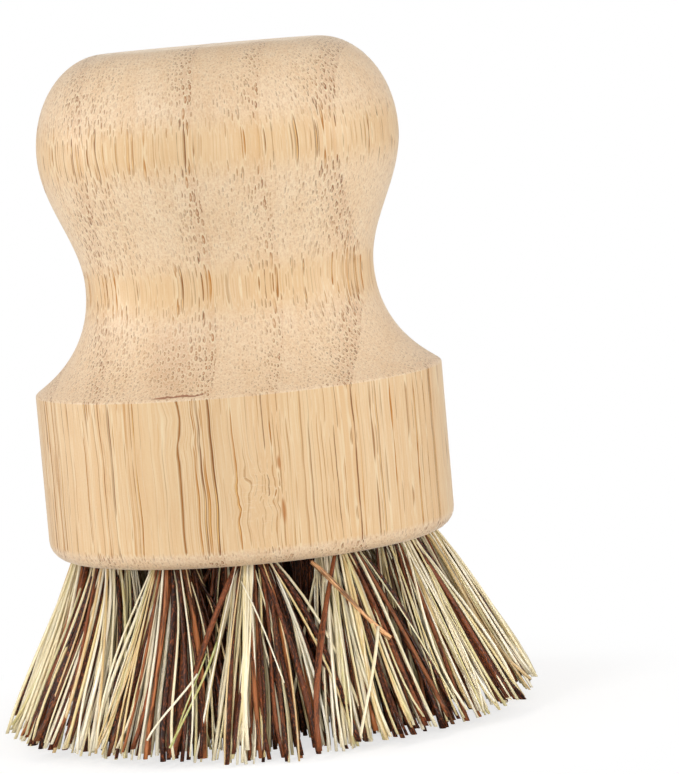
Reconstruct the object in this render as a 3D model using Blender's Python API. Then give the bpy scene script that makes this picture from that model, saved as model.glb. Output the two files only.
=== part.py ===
"""Round bamboo scrubbing brush, in metres, +Z up, standing on the tips of its fibres.

A turned bamboo handle has 19 slanted holes drilled into its underside. Each hole holds a tuft
of stiff plant fibre, folded double over the crown of a wire staple whose legs bite into the
bamboo past the bottom of the hole. The handle and the tufts are cleared for the staples by
one and the same cutter.
"""

import math
import random

import bmesh
import bpy
from mathutils import Matrix, Vector

# Lengths stacked along the axis, from the tips up to the crown
BRISTLE_LENGTH = 0.0213
BAND_HEIGHT = 0.0193
FLARE_RISE = 0.0122
NECK_RISE = 0.0159
CROWN_RISE = 0.0113

# Radii and roundings of the turned handle
CROWN_FLAT_RADIUS = 0.0125
KNOB_RADIUS = 0.0213
WAIST_RADIUS = 0.0170
BAND_RADIUS = 0.0240
SHOULDER_ROUNDING = 0.0004
LOWER_EDGE_ROUNDING = 0.0023

# Shape of the turned curves: the lean of the flare where it meets the band, and handle shares
FLARE_LEAN = math.radians(46)
neck_handle_shares = (0.38, 0.35)
flare_handle_shares = (0.67, 0.08)

# Drilled holes: their slant grows from the middle outwards
HOLE_RADIUS = 0.0028
HOLE_DEPTH = 0.0085
RIM_LAND = 0.0002
INNER_SLANT = math.radians(9)
OUTER_SLANT = math.radians(18)
inner_ring_share = 0.51

# Wire staples
WIRE_RADIUS = 0.0003
STAPLE_BITE = 0.0025
BEND_RADIUS = 0.0005
FOLD_THICKNESS = 0.0013
CLEARANCE = 0.0003

# Fibre tufts: how far their tips reach past the block, and how their strands stand and taper
TIP_REACH = 0.0078
ROOT_OVERHANG = 0.0006
FOLD_ROUNDING = 0.0007
MID_SCATTER = 0.00012
TIP_SCATTER = 0.00025
tuft_spread_share = 0.185
inner_tip_share = 0.51
mid_height_share = 0.50
mid_spread_share = 0.62
mid_thickness_share = 0.86
tip_thickness_share = 0.72
dark_strand_share = 0.35

# Counts
INNER_TUFTS = 6
OUTER_TUFTS = 12
TURNED_SEGMENTS = 60
CURVE_STEPS = 7
ROUNDING_STEPS = 3
HOLE_SIDES = 20
WIRE_SIDES = 6
# The strands' roots are the upright cells of a triangular lattice with its corners cut off
LATTICE_STEPS = 7
CORNER_STEPS = 2

SEED = 7
SMOOTH_ANGLE = math.radians(35)

# Values that follow from those above
BAND_TOP = BRISTLE_LENGTH + BAND_HEIGHT
WAIST_HEIGHT = BAND_TOP + FLARE_RISE
KNOB_HEIGHT = WAIST_HEIGHT + NECK_RISE
PLUG_RADIUS = HOLE_RADIUS - CLEARANCE
PLUG_TOP = HOLE_DEPTH - CLEARANCE
CROWN_DEPTH = PLUG_TOP - FOLD_THICKNESS - CLEARANCE - WIRE_RADIUS
# The legs stand inside the hole's flats, clear of its wall
LEG_OFFSET = HOLE_RADIUS * math.cos(math.pi / HOLE_SIDES) - CLEARANCE - WIRE_RADIUS
OUTER_RING_RADIUS = BAND_RADIUS - LOWER_EDGE_ROUNDING - RIM_LAND - HOLE_RADIUS
INNER_RING_RADIUS = OUTER_RING_RADIUS * inner_ring_share
SPREAD_RADIUS = BAND_RADIUS + TIP_REACH
TUFT_TIP_RADIUS = SPREAD_RADIUS * tuft_spread_share
OUTER_TIP_RADIUS = SPREAD_RADIUS - TUFT_TIP_RADIUS
INNER_TIP_RADIUS = OUTER_TIP_RADIUS * inner_tip_share


def material(name, colour, roughness, metallic=0.0):
    """A Principled material of one colour."""
    made = bpy.data.materials.new(name)
    made.use_nodes = True
    shader = made.node_tree.nodes["Principled BSDF"]
    shader.inputs["Base Color"].default_value = (*colour, 1.0)
    shader.inputs["Roughness"].default_value = roughness
    shader.inputs["Metallic"].default_value = metallic
    return made


def bamboo_material():
    return material("bamboo", (0.80, 0.60, 0.40), 0.55)


def fibre_materials():
    """The pale and the dark plant fibre of a mixed tuft."""
    pale = material("pale_fibre", (0.66, 0.50, 0.29), 0.60)
    dark = material("dark_fibre", (0.12, 0.05, 0.03), 0.55)
    return pale, dark


def wire_material():
    return material("galvanised_wire", (0.62, 0.62, 0.60), 0.35, 1.0)


def new_object(name, bm, *materials):
    """Turns a bmesh into a named object with smooth shading and its materials."""
    bmesh.ops.recalc_face_normals(bm, faces=bm.faces)
    mesh = bpy.data.meshes.new(name)
    bm.to_mesh(mesh)
    bm.free()
    mesh.shade_smooth()
    mesh.set_sharp_from_angle(angle=SMOOTH_ANGLE)
    for one in materials:
        mesh.materials.append(one)
    made = bpy.data.objects.new(name, mesh)
    bpy.context.scene.collection.objects.link(made)
    return made


def cutter(name, bm):
    """An object that only cuts others and isn't part of the brush."""
    made = new_object(name, bm)
    made.hide_render = True
    made.display_type = "WIRE"
    return made


def cut(target, tool):
    """Takes a cutter's volume out of an object."""
    boolean = target.modifiers.new(tool.name, "BOOLEAN")
    boolean.operation = "DIFFERENCE"
    boolean.solver = "EXACT"
    boolean.object = tool


def arc(centre, semi_axes, start, end, steps):
    """Points of an ellipse's arc, as (radius, height) pairs."""
    points = []
    for step in range(steps + 1):
        angle = start + (end - start) * step / steps
        radius = centre[0] + semi_axes[0] * math.cos(angle)
        height = centre[1] + semi_axes[1] * math.sin(angle)
        points.append((radius, height))
    return points


def bezier(start, start_handle, end_handle, end, steps):
    """Points of a cubic curve, without its first one."""
    points = []
    for step in range(1, steps + 1):
        t = step / steps
        weights = ((1 - t) ** 3, 3 * t * (1 - t) ** 2, 3 * t * t * (1 - t), t**3)
        nodes = (start, start_handle, end_handle, end)
        points.append(tuple(sum(w * n[i] for w, n in zip(weights, nodes)) for i in (0, 1)))
    return points


def crown_outline():
    """A quarter ellipse from the flat top out and down to the widest line of the knob."""
    centre = (CROWN_FLAT_RADIUS, KNOB_HEIGHT)
    semi_axes = (KNOB_RADIUS - CROWN_FLAT_RADIUS, CROWN_RISE)
    return arc(centre, semi_axes, math.pi / 2, 0.0, CURVE_STEPS)


def neck_outline():
    """From the widest line of the knob in to the waist, upright at both ends."""
    upper, lower = neck_handle_shares
    knob = (KNOB_RADIUS, KNOB_HEIGHT)
    waist = (WAIST_RADIUS, WAIST_HEIGHT)
    knob_handle = (KNOB_RADIUS, KNOB_HEIGHT - NECK_RISE * upper)
    waist_handle = (WAIST_RADIUS, WAIST_HEIGHT + NECK_RISE * lower)
    return bezier(knob, knob_handle, waist_handle, waist, CURVE_STEPS)


def band_outline():
    """From the waist out over the flare, round the shoulder, and down the upright band."""
    upper, lower = flare_handle_shares
    centre = (BAND_RADIUS - SHOULDER_ROUNDING, BAND_TOP)
    roundings = (SHOULDER_ROUNDING, SHOULDER_ROUNDING)
    shoulder = arc(centre, roundings, FLARE_LEAN, 0.0, ROUNDING_STEPS)
    waist = (WAIST_RADIUS, WAIST_HEIGHT)
    waist_handle = (WAIST_RADIUS, WAIST_HEIGHT - FLARE_RISE * upper)
    reach = FLARE_RISE * lower
    edge_radius, edge_height = shoulder[0]
    edge_handle = (
        edge_radius - reach * math.sin(FLARE_LEAN),
        edge_height + reach * math.cos(FLARE_LEAN),
    )
    return bezier(waist, waist_handle, edge_handle, shoulder[0], CURVE_STEPS) + shoulder[1:]


def lower_edge_outline():
    """The rounded edge between the band and the flat underside."""
    centre = (BAND_RADIUS - LOWER_EDGE_ROUNDING, BRISTLE_LENGTH + LOWER_EDGE_ROUNDING)
    roundings = (LOWER_EDGE_ROUNDING, LOWER_EDGE_ROUNDING)
    return arc(centre, roundings, 0.0, -math.pi / 2, ROUNDING_STEPS + 1)


def build_handle(wood):
    """Spins the outline round the axis and closes the flat crown and underside."""
    outline = crown_outline() + neck_outline() + band_outline() + lower_edge_outline()
    bm = bmesh.new()
    verts = [bm.verts.new((radius, 0.0, height)) for radius, height in outline]
    edges = [bm.edges.new(pair) for pair in zip(verts, verts[1:])]
    bmesh.ops.spin(
        bm,
        geom=verts + edges,
        axis=(0, 0, 1),
        cent=(0, 0, 0),
        angle=2 * math.pi,
        steps=TURNED_SEGMENTS,
        use_merge=True,
    )
    bmesh.ops.holes_fill(bm, edges=bm.edges[:], sides=0)
    return new_object("bamboo_handle", bm, wood)


def hole_placement(ring_radius, slant, azimuth):
    """The frame of a hole: its origin at the mouth, +Z up into the bamboo, +X outwards."""
    turned = Matrix.Rotation(azimuth, 4, "Z")
    moved = Matrix.Translation((ring_radius, 0.0, BRISTLE_LENGTH))
    return turned @ moved @ Matrix.Rotation(-slant, 4, "Y")


def tuft_rings():
    """Each ring's name, count, first azimuth, hole ring, slant and ring of tips."""
    inner_turn = math.pi / OUTER_TUFTS
    return (
        ("center", 1, 0.0, 0.0, 0.0, 0.0),
        ("inner", INNER_TUFTS, inner_turn, INNER_RING_RADIUS, INNER_SLANT, INNER_TIP_RADIUS),
        ("outer", OUTER_TUFTS, 0.0, OUTER_RING_RADIUS, OUTER_SLANT, OUTER_TIP_RADIUS),
    )


def placed_holes():
    """Every hole's name ending and placement."""
    holes = []
    for ring, count, first, ring_radius, slant, _ in tuft_rings():
        for index in range(count):
            azimuth = first + 2 * math.pi * index / count
            ending = ring if count == 1 else f"{ring}_{index + 1}"
            holes.append((ring, ending, hole_placement(ring_radius, slant, azimuth)))
    return holes


def build_hole_cutter(holes):
    """Drills of every hole, starting below the underside."""
    bm = bmesh.new()
    overrun = HOLE_DEPTH
    length = HOLE_DEPTH + overrun
    for _, _, placement in holes:
        middle = Matrix.Translation((0.0, 0.0, (HOLE_DEPTH - overrun) / 2))
        bmesh.ops.create_cone(
            bm,
            cap_ends=True,
            segments=HOLE_SIDES,
            radius1=HOLE_RADIUS,
            radius2=HOLE_RADIUS,
            depth=length,
            matrix=placement @ middle,
        )
    return cutter("drilled_holes", bm)


def staple_route(bite):
    """The middle line of a staple: up one leg's side, over the crown, and back."""
    leg_end = HOLE_DEPTH + bite
    bend = BEND_RADIUS
    return [
        Vector((0.0, -LEG_OFFSET, leg_end)),
        Vector((0.0, -LEG_OFFSET, CROWN_DEPTH + bend)),
        Vector((0.0, bend - LEG_OFFSET, CROWN_DEPTH)),
        Vector((0.0, LEG_OFFSET - bend, CROWN_DEPTH)),
        Vector((0.0, LEG_OFFSET, CROWN_DEPTH + bend)),
        Vector((0.0, LEG_OFFSET, leg_end)),
    ]


def add_wire(bm, route, radius, placement):
    """A closed wire of a few sides along a route in the hole's YZ plane, mitred at its bends."""
    rings = []
    for index, point in enumerate(route):
        before = (point - route[max(index - 1, 0)]).normalized()
        after = (route[min(index + 1, len(route) - 1)] - point).normalized()
        along = (before + after).normalized()
        side = Vector((1.0, 0.0, 0.0))
        across = along.cross(side)
        widen = 1.0 / max(along.dot(before), along.dot(after))
        ring = []
        for corner in range(WIRE_SIDES):
            angle = 2 * math.pi * (corner + 0.5) / WIRE_SIDES
            offset = side * math.cos(angle) + across * (math.sin(angle) * widen)
            ring.append(bm.verts.new(placement @ (point + offset * radius)))
        rings.append(ring)
    for near, far in zip(rings, rings[1:]):
        for corner in range(WIRE_SIDES):
            following = (corner + 1) % WIRE_SIDES
            bm.faces.new((near[corner], near[following], far[following], far[corner]))
    bm.faces.new(rings[0])
    bm.faces.new(rings[-1])


def build_staple_cutter(holes):
    """The room that the staples' wires take in the bamboo and in the tufts."""
    bm = bmesh.new()
    route = staple_route(STAPLE_BITE + CLEARANCE)
    for _, _, placement in holes:
        add_wire(bm, route, WIRE_RADIUS + CLEARANCE, placement)
    return cutter("staple_clearance", bm)


def staple_mesh(wire):
    """One staple in its hole's frame, shared by all the staples."""
    bm = bmesh.new()
    add_wire(bm, staple_route(STAPLE_BITE), WIRE_RADIUS, Matrix.Identity(4))
    first = new_object("staple", bm, wire)
    mesh = first.data
    bpy.data.objects.remove(first)
    return mesh


def build_staples(holes, wire):
    mesh = staple_mesh(wire)
    for _, ending, placement in holes:
        staple = bpy.data.objects.new(f"staple_{ending}", mesh)
        staple.matrix_world = placement
        bpy.context.scene.collection.objects.link(staple)


def lattice_point(i, j):
    """A lattice point moved onto the round face of a plug, rim points onto its rim."""
    steps = (i, j, LATTICE_STEPS - i - j)
    middle = LATTICE_STEPS / 3
    furthest = LATTICE_STEPS - CORNER_STEPS
    place = Vector((0.0, 0.0))
    for number, count in enumerate(steps):
        angle = 2 * math.pi * number / 3
        place += Vector((math.cos(angle), math.sin(angle))) * count
    outwards = max(max(middle - c, 0.0) / middle for c in steps)
    cornerwards = max(max(c - middle, 0.0) / (furthest - middle) for c in steps)
    return place.normalized() * (PLUG_RADIUS * max(outwards, cornerwards))


def lattice_cells():
    """The lattice points, and its upright and inverted cells as triples of their keys."""
    furthest = LATTICE_STEPS - CORNER_STEPS
    keys = []
    for i in range(furthest + 1):
        for j in range(furthest + 1):
            if 0 <= LATTICE_STEPS - i - j <= furthest:
                keys.append((i, j))
    inside = set(keys)
    upright, inverted = [], []
    for i in range(-1, LATTICE_STEPS + 1):
        for j in range(-1, LATTICE_STEPS + 1):
            up = ((i + 1, j), (i, j + 1), (i, j))
            down = ((i, j + 1), (i + 1, j), (i + 1, j + 1))
            if inside.issuperset(up):
                upright.append(up)
            if inside.issuperset(down):
                inverted.append(down)
    return keys, upright, inverted


def add_plug(bm):
    """The folded root of a tuft. Returns the cells of its lower face that strands grow from."""
    keys, upright, inverted = lattice_cells()
    points = {}
    for key in keys:
        x, y = lattice_point(*key)
        points[key] = bm.verts.new((x, y, -ROOT_OVERHANG))
    cells = [bm.faces.new([points[key] for key in cell]) for cell in upright]
    for cell in inverted:
        bm.faces.new([points[key] for key in cell])
    rim = [edge for edge in bm.edges if edge.is_boundary]
    inset_share = (PLUG_RADIUS - FOLD_ROUNDING) / PLUG_RADIUS
    for height, share in ((PLUG_TOP - FOLD_ROUNDING, 1.0), (PLUG_TOP, inset_share)):
        grown = bmesh.ops.extrude_edge_only(bm, edges=rim)["geom"]
        for vert in grown:
            if isinstance(vert, bmesh.types.BMVert):
                vert.co = Vector((vert.co.x * share, vert.co.y * share, height))
        rim = [edge for edge in grown if isinstance(edge, bmesh.types.BMEdge) and edge.is_boundary]
    bmesh.ops.holes_fill(bm, edges=rim, sides=0)
    return cells


def strand_places(root, flat, tip_ring_radius, rng):
    """Where a strand's middle line passes half-way down and ends. Outer strands stray most."""
    tip = Vector((tip_ring_radius + flat.x, flat.y, 0.0))
    middle = root.lerp(tip, mid_spread_share)
    middle.z = root.z * (1.0 - mid_height_share)
    outwards = flat.length / TUFT_TIP_RADIUS
    for place, scatter in ((middle, MID_SCATTER), (tip, TIP_SCATTER)):
        angle = rng.uniform(0.0, 2 * math.pi)
        reach = scatter * outwards * math.sqrt(rng.random())
        place += Vector((math.cos(angle), math.sin(angle), 0.0)) * reach
    return middle, tip


def grow_strands(bm, cells, placement, tip_ring_radius, rng):
    """Draws every strand out of its cell in two lengths, fanning out, cut flat at the tips."""
    to_local = placement.inverted()
    furthest = max(cell.calc_center_median().xy.length for cell in cells)
    spread = TUFT_TIP_RADIUS / furthest
    strands = []
    for cell in cells:
        root = cell.calc_center_median()
        corners = [vert.co.xy - root.xy for vert in cell.verts]
        places = strand_places(placement @ root, root.xy * spread, tip_ring_radius, rng)
        dark = rng.random() < dark_strand_share
        strands.append((corners, places, 1 if dark else 0))
    thickness_shares = (mid_thickness_share, tip_thickness_share)
    for length, thickness in enumerate(thickness_shares):
        cells = bmesh.ops.extrude_discrete_faces(bm, faces=cells)["faces"]
        for cell, (corners, places, slot) in zip(cells, strands):
            for vert, corner in zip(cell.verts, corners):
                offset = Vector((corner.x, corner.y, 0.0)) * thickness
                vert.co = to_local @ (places[length] + offset)
            cell.material_index = slot
            for edge in cell.edges:
                for side in edge.link_faces:
                    side.material_index = slot


def tuft_mesh(ring, placement, tip_ring_radius, fibres, rng):
    """The tuft of one ring in its hole's frame, shared by the ring's tufts."""
    bm = bmesh.new()
    cells = add_plug(bm)
    grow_strands(bm, cells, placement, tip_ring_radius, rng)
    first = new_object(f"tuft_{ring}", bm, *fibres)
    mesh = first.data
    bpy.data.objects.remove(first)
    return mesh


def build_tufts(holes, fibres, staple_cutter):
    rng = random.Random(SEED)
    meshes = {}
    for ring, _, _, ring_radius, slant, tip_ring_radius in tuft_rings():
        placement = hole_placement(ring_radius, slant, 0.0)
        meshes[ring] = tuft_mesh(ring, placement, tip_ring_radius, fibres, rng)
    for ring, ending, placement in holes:
        tuft = bpy.data.objects.new(f"tuft_{ending}", meshes[ring])
        tuft.matrix_world = placement
        bpy.context.scene.collection.objects.link(tuft)
        cut(tuft, staple_cutter)


def main():
    for old in list(bpy.data.objects):
        bpy.data.objects.remove(old)
    holes = placed_holes()
    staple_cutter = build_staple_cutter(holes)
    handle = build_handle(bamboo_material())
    cut(handle, build_hole_cutter(holes))
    cut(handle, staple_cutter)
    build_staples(holes, wire_material())
    build_tufts(holes, fibre_materials(), staple_cutter)


main()
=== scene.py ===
"""Looks of a round bamboo scrubbing brush: its turned handle in laminated bamboo, and tufts of
mixed plant fibre folded over the wire staples in their holes. Metres, +Z up."""

import math

import bmesh
import bpy
import numpy as np
from mathutils import Matrix, Vector


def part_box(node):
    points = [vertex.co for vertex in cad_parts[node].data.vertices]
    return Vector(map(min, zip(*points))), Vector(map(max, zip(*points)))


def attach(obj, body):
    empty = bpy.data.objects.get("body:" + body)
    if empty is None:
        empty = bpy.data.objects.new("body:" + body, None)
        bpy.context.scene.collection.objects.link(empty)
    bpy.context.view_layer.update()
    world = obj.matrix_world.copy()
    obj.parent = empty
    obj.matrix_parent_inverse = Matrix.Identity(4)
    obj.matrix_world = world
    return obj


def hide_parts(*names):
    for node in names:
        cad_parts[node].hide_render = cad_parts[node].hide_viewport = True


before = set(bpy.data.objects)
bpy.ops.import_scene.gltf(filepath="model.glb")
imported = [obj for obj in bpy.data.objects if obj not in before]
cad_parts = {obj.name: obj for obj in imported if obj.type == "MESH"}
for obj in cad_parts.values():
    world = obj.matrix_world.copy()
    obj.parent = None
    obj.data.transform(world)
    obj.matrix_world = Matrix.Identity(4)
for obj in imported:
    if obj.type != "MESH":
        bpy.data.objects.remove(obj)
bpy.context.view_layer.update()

MM = 0.001

# Turned handle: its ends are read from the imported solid, whose outline it follows. The shares
# say how far the curves' handles reach, of the neck's and the flare's rise
handle_low, handle_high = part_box("bamboo_handle")
UNDERSIDE = handle_low.z
CROWN = handle_high.z
BAND_RADIUS = 24.0 * MM
BAND_HEIGHT = 19.3 * MM
FLARE_RISE = 12.2 * MM
NECK_RISE = 15.9 * MM
CROWN_FLAT_RADIUS = 12.5 * MM
KNOB_RADIUS = 21.3 * MM
WAIST_RADIUS = 17.0 * MM
SHOULDER_ROUNDING = 0.4 * MM
LOWER_EDGE_ROUNDING = 2.3 * MM
FLARE_LEAN = math.radians(46)
NECK_HANDLE_SHARES = (0.38, 0.35)
FLARE_HANDLE_SHARES = (0.67, 0.08)
BAND_TOP = UNDERSIDE + BAND_HEIGHT
WAIST_HEIGHT = BAND_TOP + FLARE_RISE
KNOB_HEIGHT = WAIST_HEIGHT + NECK_RISE
TURNED_SEGMENTS = 192
CURVE_STEPS = 26
BAND_STEPS = 12
ROUNDING_STEPS = 6
SHARP_ANGLE = math.radians(30)

# Drilled holes and the staples' crowns in them
HOLE_RADIUS = 2.8 * MM
HOLE_DEPTH = 8.5 * MM
OUTER_RING_RADIUS = 18.7 * MM
INNER_RING_RADIUS = OUTER_RING_RADIUS * 0.51
INNER_SLANT = math.radians(9)
OUTER_SLANT = math.radians(18)
INNER_TUFTS = 6
OUTER_TUFTS = 12
HOLE_SIDES = 40
CROWN_DEPTH = 6.3 * MM
WIRE_RADIUS = 0.3 * MM

# Tufts: the plug of fibre in a hole, and the part of the brush's face that its tips fill, as
# near and far radius and half the angle of its sector
PLUG_RADIUS = 2.62 * MM
OUTER_TIPS = (18.5 * MM, 32.4 * MM, math.radians(15.5))
INNER_TIPS = (5.5 * MM, 18.5 * MM, math.radians(32))
CENTRE_TIPS = 6.5 * MM

# How far tips stray outwards and aside, the rim of the face, how ragged that is, and how far
# the whole face lies to the right of the axis
TIP_SCATTER = (0.9 * MM, 1.5 * MM)
TIP_LIMIT = 31.6 * MM
TIP_LIMIT_SCATTER = 0.5 * MM
FACE_SHIFT = 0.45 * MM

# The cut face: how ragged it is, and how far it rises at the rim outside its flat middle. At
# the very front it stays level and is more even
CUT_ROUGHNESS = 1.4 * MM
RAGGED_POWER = 1.5
CUT_RISE = 1.45 * MM
CUT_FLAT_RADIUS = 24.0 * MM
FRONT_LEVEL_WIDTH = 11.0 * MM
FRONT_EVENNESS = 0.55
LOWEST_TIP = 0.04 * MM
SEED = 11


def srgb(red, green, blue):
    """A colour of 0 to 255 in linear light."""
    channels = []
    for value in (red, green, blue):
        share = value / 255
        low = share / 12.92
        high = ((share + 0.055) / 1.055) ** 2.4
        channels.append(low if share <= 0.04045 else high)
    return (*channels, 1.0)


class Nodes:
    """Short calls that build a material's node tree."""

    def __init__(self, owner):
        owner.use_nodes = True
        self.tree = owner.node_tree
        self.tree.nodes.clear()

    def add(self, kind, inputs=None, **settings):
        node = self.tree.nodes.new(kind)
        for name, value in settings.items():
            setattr(node, name, value)
        for key, value in (inputs or {}).items():
            self.put(node.inputs[key], value)
        return node

    def put(self, socket, value):
        if isinstance(value, bpy.types.NodeSocket):
            self.tree.links.new(value, socket)
        else:
            socket.default_value = value

    def math(self, operation, first, second=0.0, third=0.0, clamp=False):
        inputs = {0: first, 1: second, 2: third}
        node = self.add("ShaderNodeMath", inputs, operation=operation, use_clamp=clamp)
        return node.outputs[0]

    def vector(self, operation, first, second=(0.0, 0.0, 0.0)):
        node = self.add("ShaderNodeVectorMath", {0: first, 1: second}, operation=operation)
        return node.outputs[0]

    def scaled(self, vector, factor):
        inputs = {0: vector, "Scale": factor}
        return self.add("ShaderNodeVectorMath", inputs, operation="SCALE").outputs[0]

    def join(self, x, y, z=0.0):
        return self.add("ShaderNodeCombineXYZ", {0: x, 1: y, 2: z}).outputs[0]

    def split(self, vector):
        return self.add("ShaderNodeSeparateXYZ", {0: vector}).outputs

    def ramp(self, value, low, high, start=0.0, end=1.0, kind="SMOOTHSTEP"):
        """start below low, end above high, and a smooth change between them."""
        inputs = {"Value": value, "From Min": low, "From Max": high, "To Min": start, "To Max": end}
        node = self.add("ShaderNodeMapRange", inputs, interpolation_type=kind, clamp=True)
        return node.outputs[0]

    def mix(self, share, first, second):
        inputs = {0: share, 6: first, 7: second}
        return self.add("ShaderNodeMix", inputs, data_type="RGBA").outputs[2]

    def blend(self, share, first, second):
        inputs = {0: share, 2: first, 3: second}
        return self.add("ShaderNodeMix", inputs, data_type="FLOAT").outputs[0]

    def noise(self, vector, scale, detail=2.0, roughness=0.5):
        inputs = {"Vector": vector, "Scale": scale, "Detail": detail, "Roughness": roughness}
        return self.add("ShaderNodeTexNoise", inputs).outputs

    def colours(self, value, stops, kind="LINEAR"):
        """A colour ramp from (position, colour) pairs."""
        node = self.add("ShaderNodeValToRGB", {0: value})
        node.color_ramp.interpolation = kind
        elements = node.color_ramp.elements
        while len(elements) < len(stops):
            elements.new(1.0)
        for element, (position, colour) in zip(elements, stops):
            element.position = position
            element.color = colour
        return node.outputs[0]

    def surface(self, **inputs):
        shader = self.add("ShaderNodeBsdfPrincipled")
        for name, value in inputs.items():
            self.put(shader.inputs[name.replace("_", " ")], value)
        self.add("ShaderNodeOutputMaterial", {0: shader.outputs[0]})
        return shader


# Bamboo strips that the blank is glued up from, in millimetres across it: the left edge of
# each, how strong its fibre bundles are at its left and right side, and its tone
BAMBOO_STRIPS = (
    (-26.2, 0.34, 0.92, 0.45),
    (-19.1, 0.32, 1.00, 0.60),
    (-12.0, 0.62, 0.20, 0.45),
    (-5.0, 0.14, 1.05, 0.40),
    (1.8, 0.10, 0.84, 0.70),
    (9.2, 0.18, 1.05, 0.40),
    (16.6, 0.14, 0.84, 0.55),
    (23.7, 0.24, 0.76, 0.40),
)
BLANK_WIDTH = 52.4
STRIP_DEPTH = 21.0
LAMINATION_TURN = math.radians(12.2)

# A strip's bundles strengthen slowly up to this share of its width, and by this share of the
# whole gain, and faster beyond
GRADING_PLACE = 0.60
GRADING_SHARE = 0.32

# The bundles and the fine ones between them, in millimetres, how far they are from lying in
# rows, how far apart the pattern's samples for two lengths of strip are, and how far the grain
# wanders
BUNDLE_SPACING = 0.64
BUNDLE_RADIUS = 0.155
FINE_SPACING = 0.40
FINE_RADIUS = 0.080
BUNDLE_SCATTER = 0.72
CHANCE_SHIFT = 40.0
WANDER = (1.3, 0.7, 0.0)

# How fast each pattern of the bamboo changes, per millimetre across, in depth and upwards
WANDER_PACE = (0.12, 0.12, 0.07)
CLOUD_PACE = (0.5, 0.5, 0.06)
THREAD_PACE = (4.5, 4.5, 0.14)
FADING_PACE = (0.8, 0.8, 0.10)
DASH_PACE = (0.7, 0.7, 5.5)

# Where the grain is contorted: centre, reach each way in millimetres, by how much, and how
# fast that changes along each axis
NODE_SCAR = ((0.9, -23.8, 29.4), (4.2, 6.0, 5.6), (3.2, 1.4, 0.0), (0.30, 0.22, 0.31))
BENT_GRAIN = ((-7.4, -22.8, 37.6), (3.4, 6.0, 4.6), (4.0, 0.6, 0.0), (0.15, 0.10, 0.17))

# Dark blots of sap beside the scar, and two at the crown's edge: centre and reach
SAP_BLOTS = (
    ((3.75, -23.7, 27.4), (0.36, 3.0, 1.9)),
    ((3.65, -23.7, 32.9), (0.30, 3.0, 1.1)),
    ((5.4, -11.9, 79.95), (1.0, 0.6, 0.3)),
    ((3.3, -12.4, 79.95), (0.5, 0.5, 0.2)),
)

# Where the bundles are darkest, and a band all round the neck that is drawn paler: centre and reach
DARK_PATCH = ((-7.6, -20.0, 45.5), (5.0, 8.0, 7.5))
PALE_PATCH = ((0.0, 0.0, 60.0), (100.0, 100.0, 8.0))

# A thin crack across the foot of the flare: its ends across, how far in from them it fades, its
# height, how it climbs and wavers, and the half widths at which it is deep and gone
CRACK_ENDS = (-10.4, -3.4)
CRACK_FADE = 1.2
CRACK_HEIGHT = 41.35
CRACK_CLIMB = 0.02
CRACK_WAVER = 0.9
CRACK_HALF_WIDTHS = (0.03, 0.11)

# Colours of the bamboo. A pair is the colour of upright surfaces and that of slopes, but of
# streaks and dots the two that theirs lie between
GROUND_COLOURS = (srgb(241, 208, 162), srgb(250, 223, 189))
PALEST_COLOUR = srgb(255, 233, 198)
TONE_COLOUR = srgb(230, 184, 130)
CLOUD_COLOUR = srgb(228, 180, 124)
DENSE_COLOURS = (srgb(226, 170, 104), srgb(202, 152, 114))
THREAD_COLOUR = srgb(212, 156, 94)
GRIT_COLOUR = srgb(212, 172, 132)
# Painted highlight: the colour of the glints
GLINT_COLOUR = srgb(255, 242, 216)
RIM_COLOUR = srgb(255, 240, 204)
FINE_RIM_COLOUR = srgb(255, 240, 208)
STREAK_COLOURS = (srgb(204, 134, 44), srgb(134, 78, 8))
DOT_COLOURS = (srgb(180, 118, 64), srgb(132, 76, 36))
HEART_COLOURS = (srgb(240, 188, 104), srgb(226, 186, 150))
SCAR_COLOUR = srgb(255, 236, 204)
GLUE_COLOUR = srgb(184, 128, 76)
SAP_COLOUR = srgb(190, 122, 56)
CRACK_COLOUR = srgb(150, 84, 50)

# The bamboo's dull gloss, and the pale fuzz of its sanded surface
BAMBOO_FINISH = {
    "Sheen Weight": 0.46,
    "Sheen Roughness": 0.3,
    "Sheen Tint": srgb(255, 243, 226),
    "Specular IOR Level": 0.38,
    "Coat Weight": 0.09,
    "Coat Roughness": 0.28,
}
BAMBOO_RELIEF = 0.045 * MM


def strip_stops():
    """Colour stops across the blank: those of the bundles' graded strength, and those of each
    strip's tone (red) and identity (green)."""
    graded = []
    steady = []
    first = BAMBOO_STRIPS[0][0]
    edges = [strip[0] for strip in BAMBOO_STRIPS[1:]] + [first + BLANK_WIDTH]
    hair = 0.0003
    for number, (strip, end) in enumerate(zip(BAMBOO_STRIPS, edges)):
        left, weak, strong, tone = strip
        start_share = (left - first) / BLANK_WIDTH
        end_share = (end - first) / BLANK_WIDTH - hair
        middling = weak + GRADING_SHARE * (strong - weak)
        middle_share = start_share + GRADING_PLACE * (end_share - start_share)
        graded.append((start_share, (weak, weak, weak, 1.0)))
        graded.append((middle_share, (middling, middling, middling, 1.0)))
        graded.append((end_share, (strong, strong, strong, 1.0)))
        name = (number + 1) / (len(BAMBOO_STRIPS) + 1)
        steady.append((start_share, (tone, name, 0.0, 1.0)))
    return graded, steady


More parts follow.
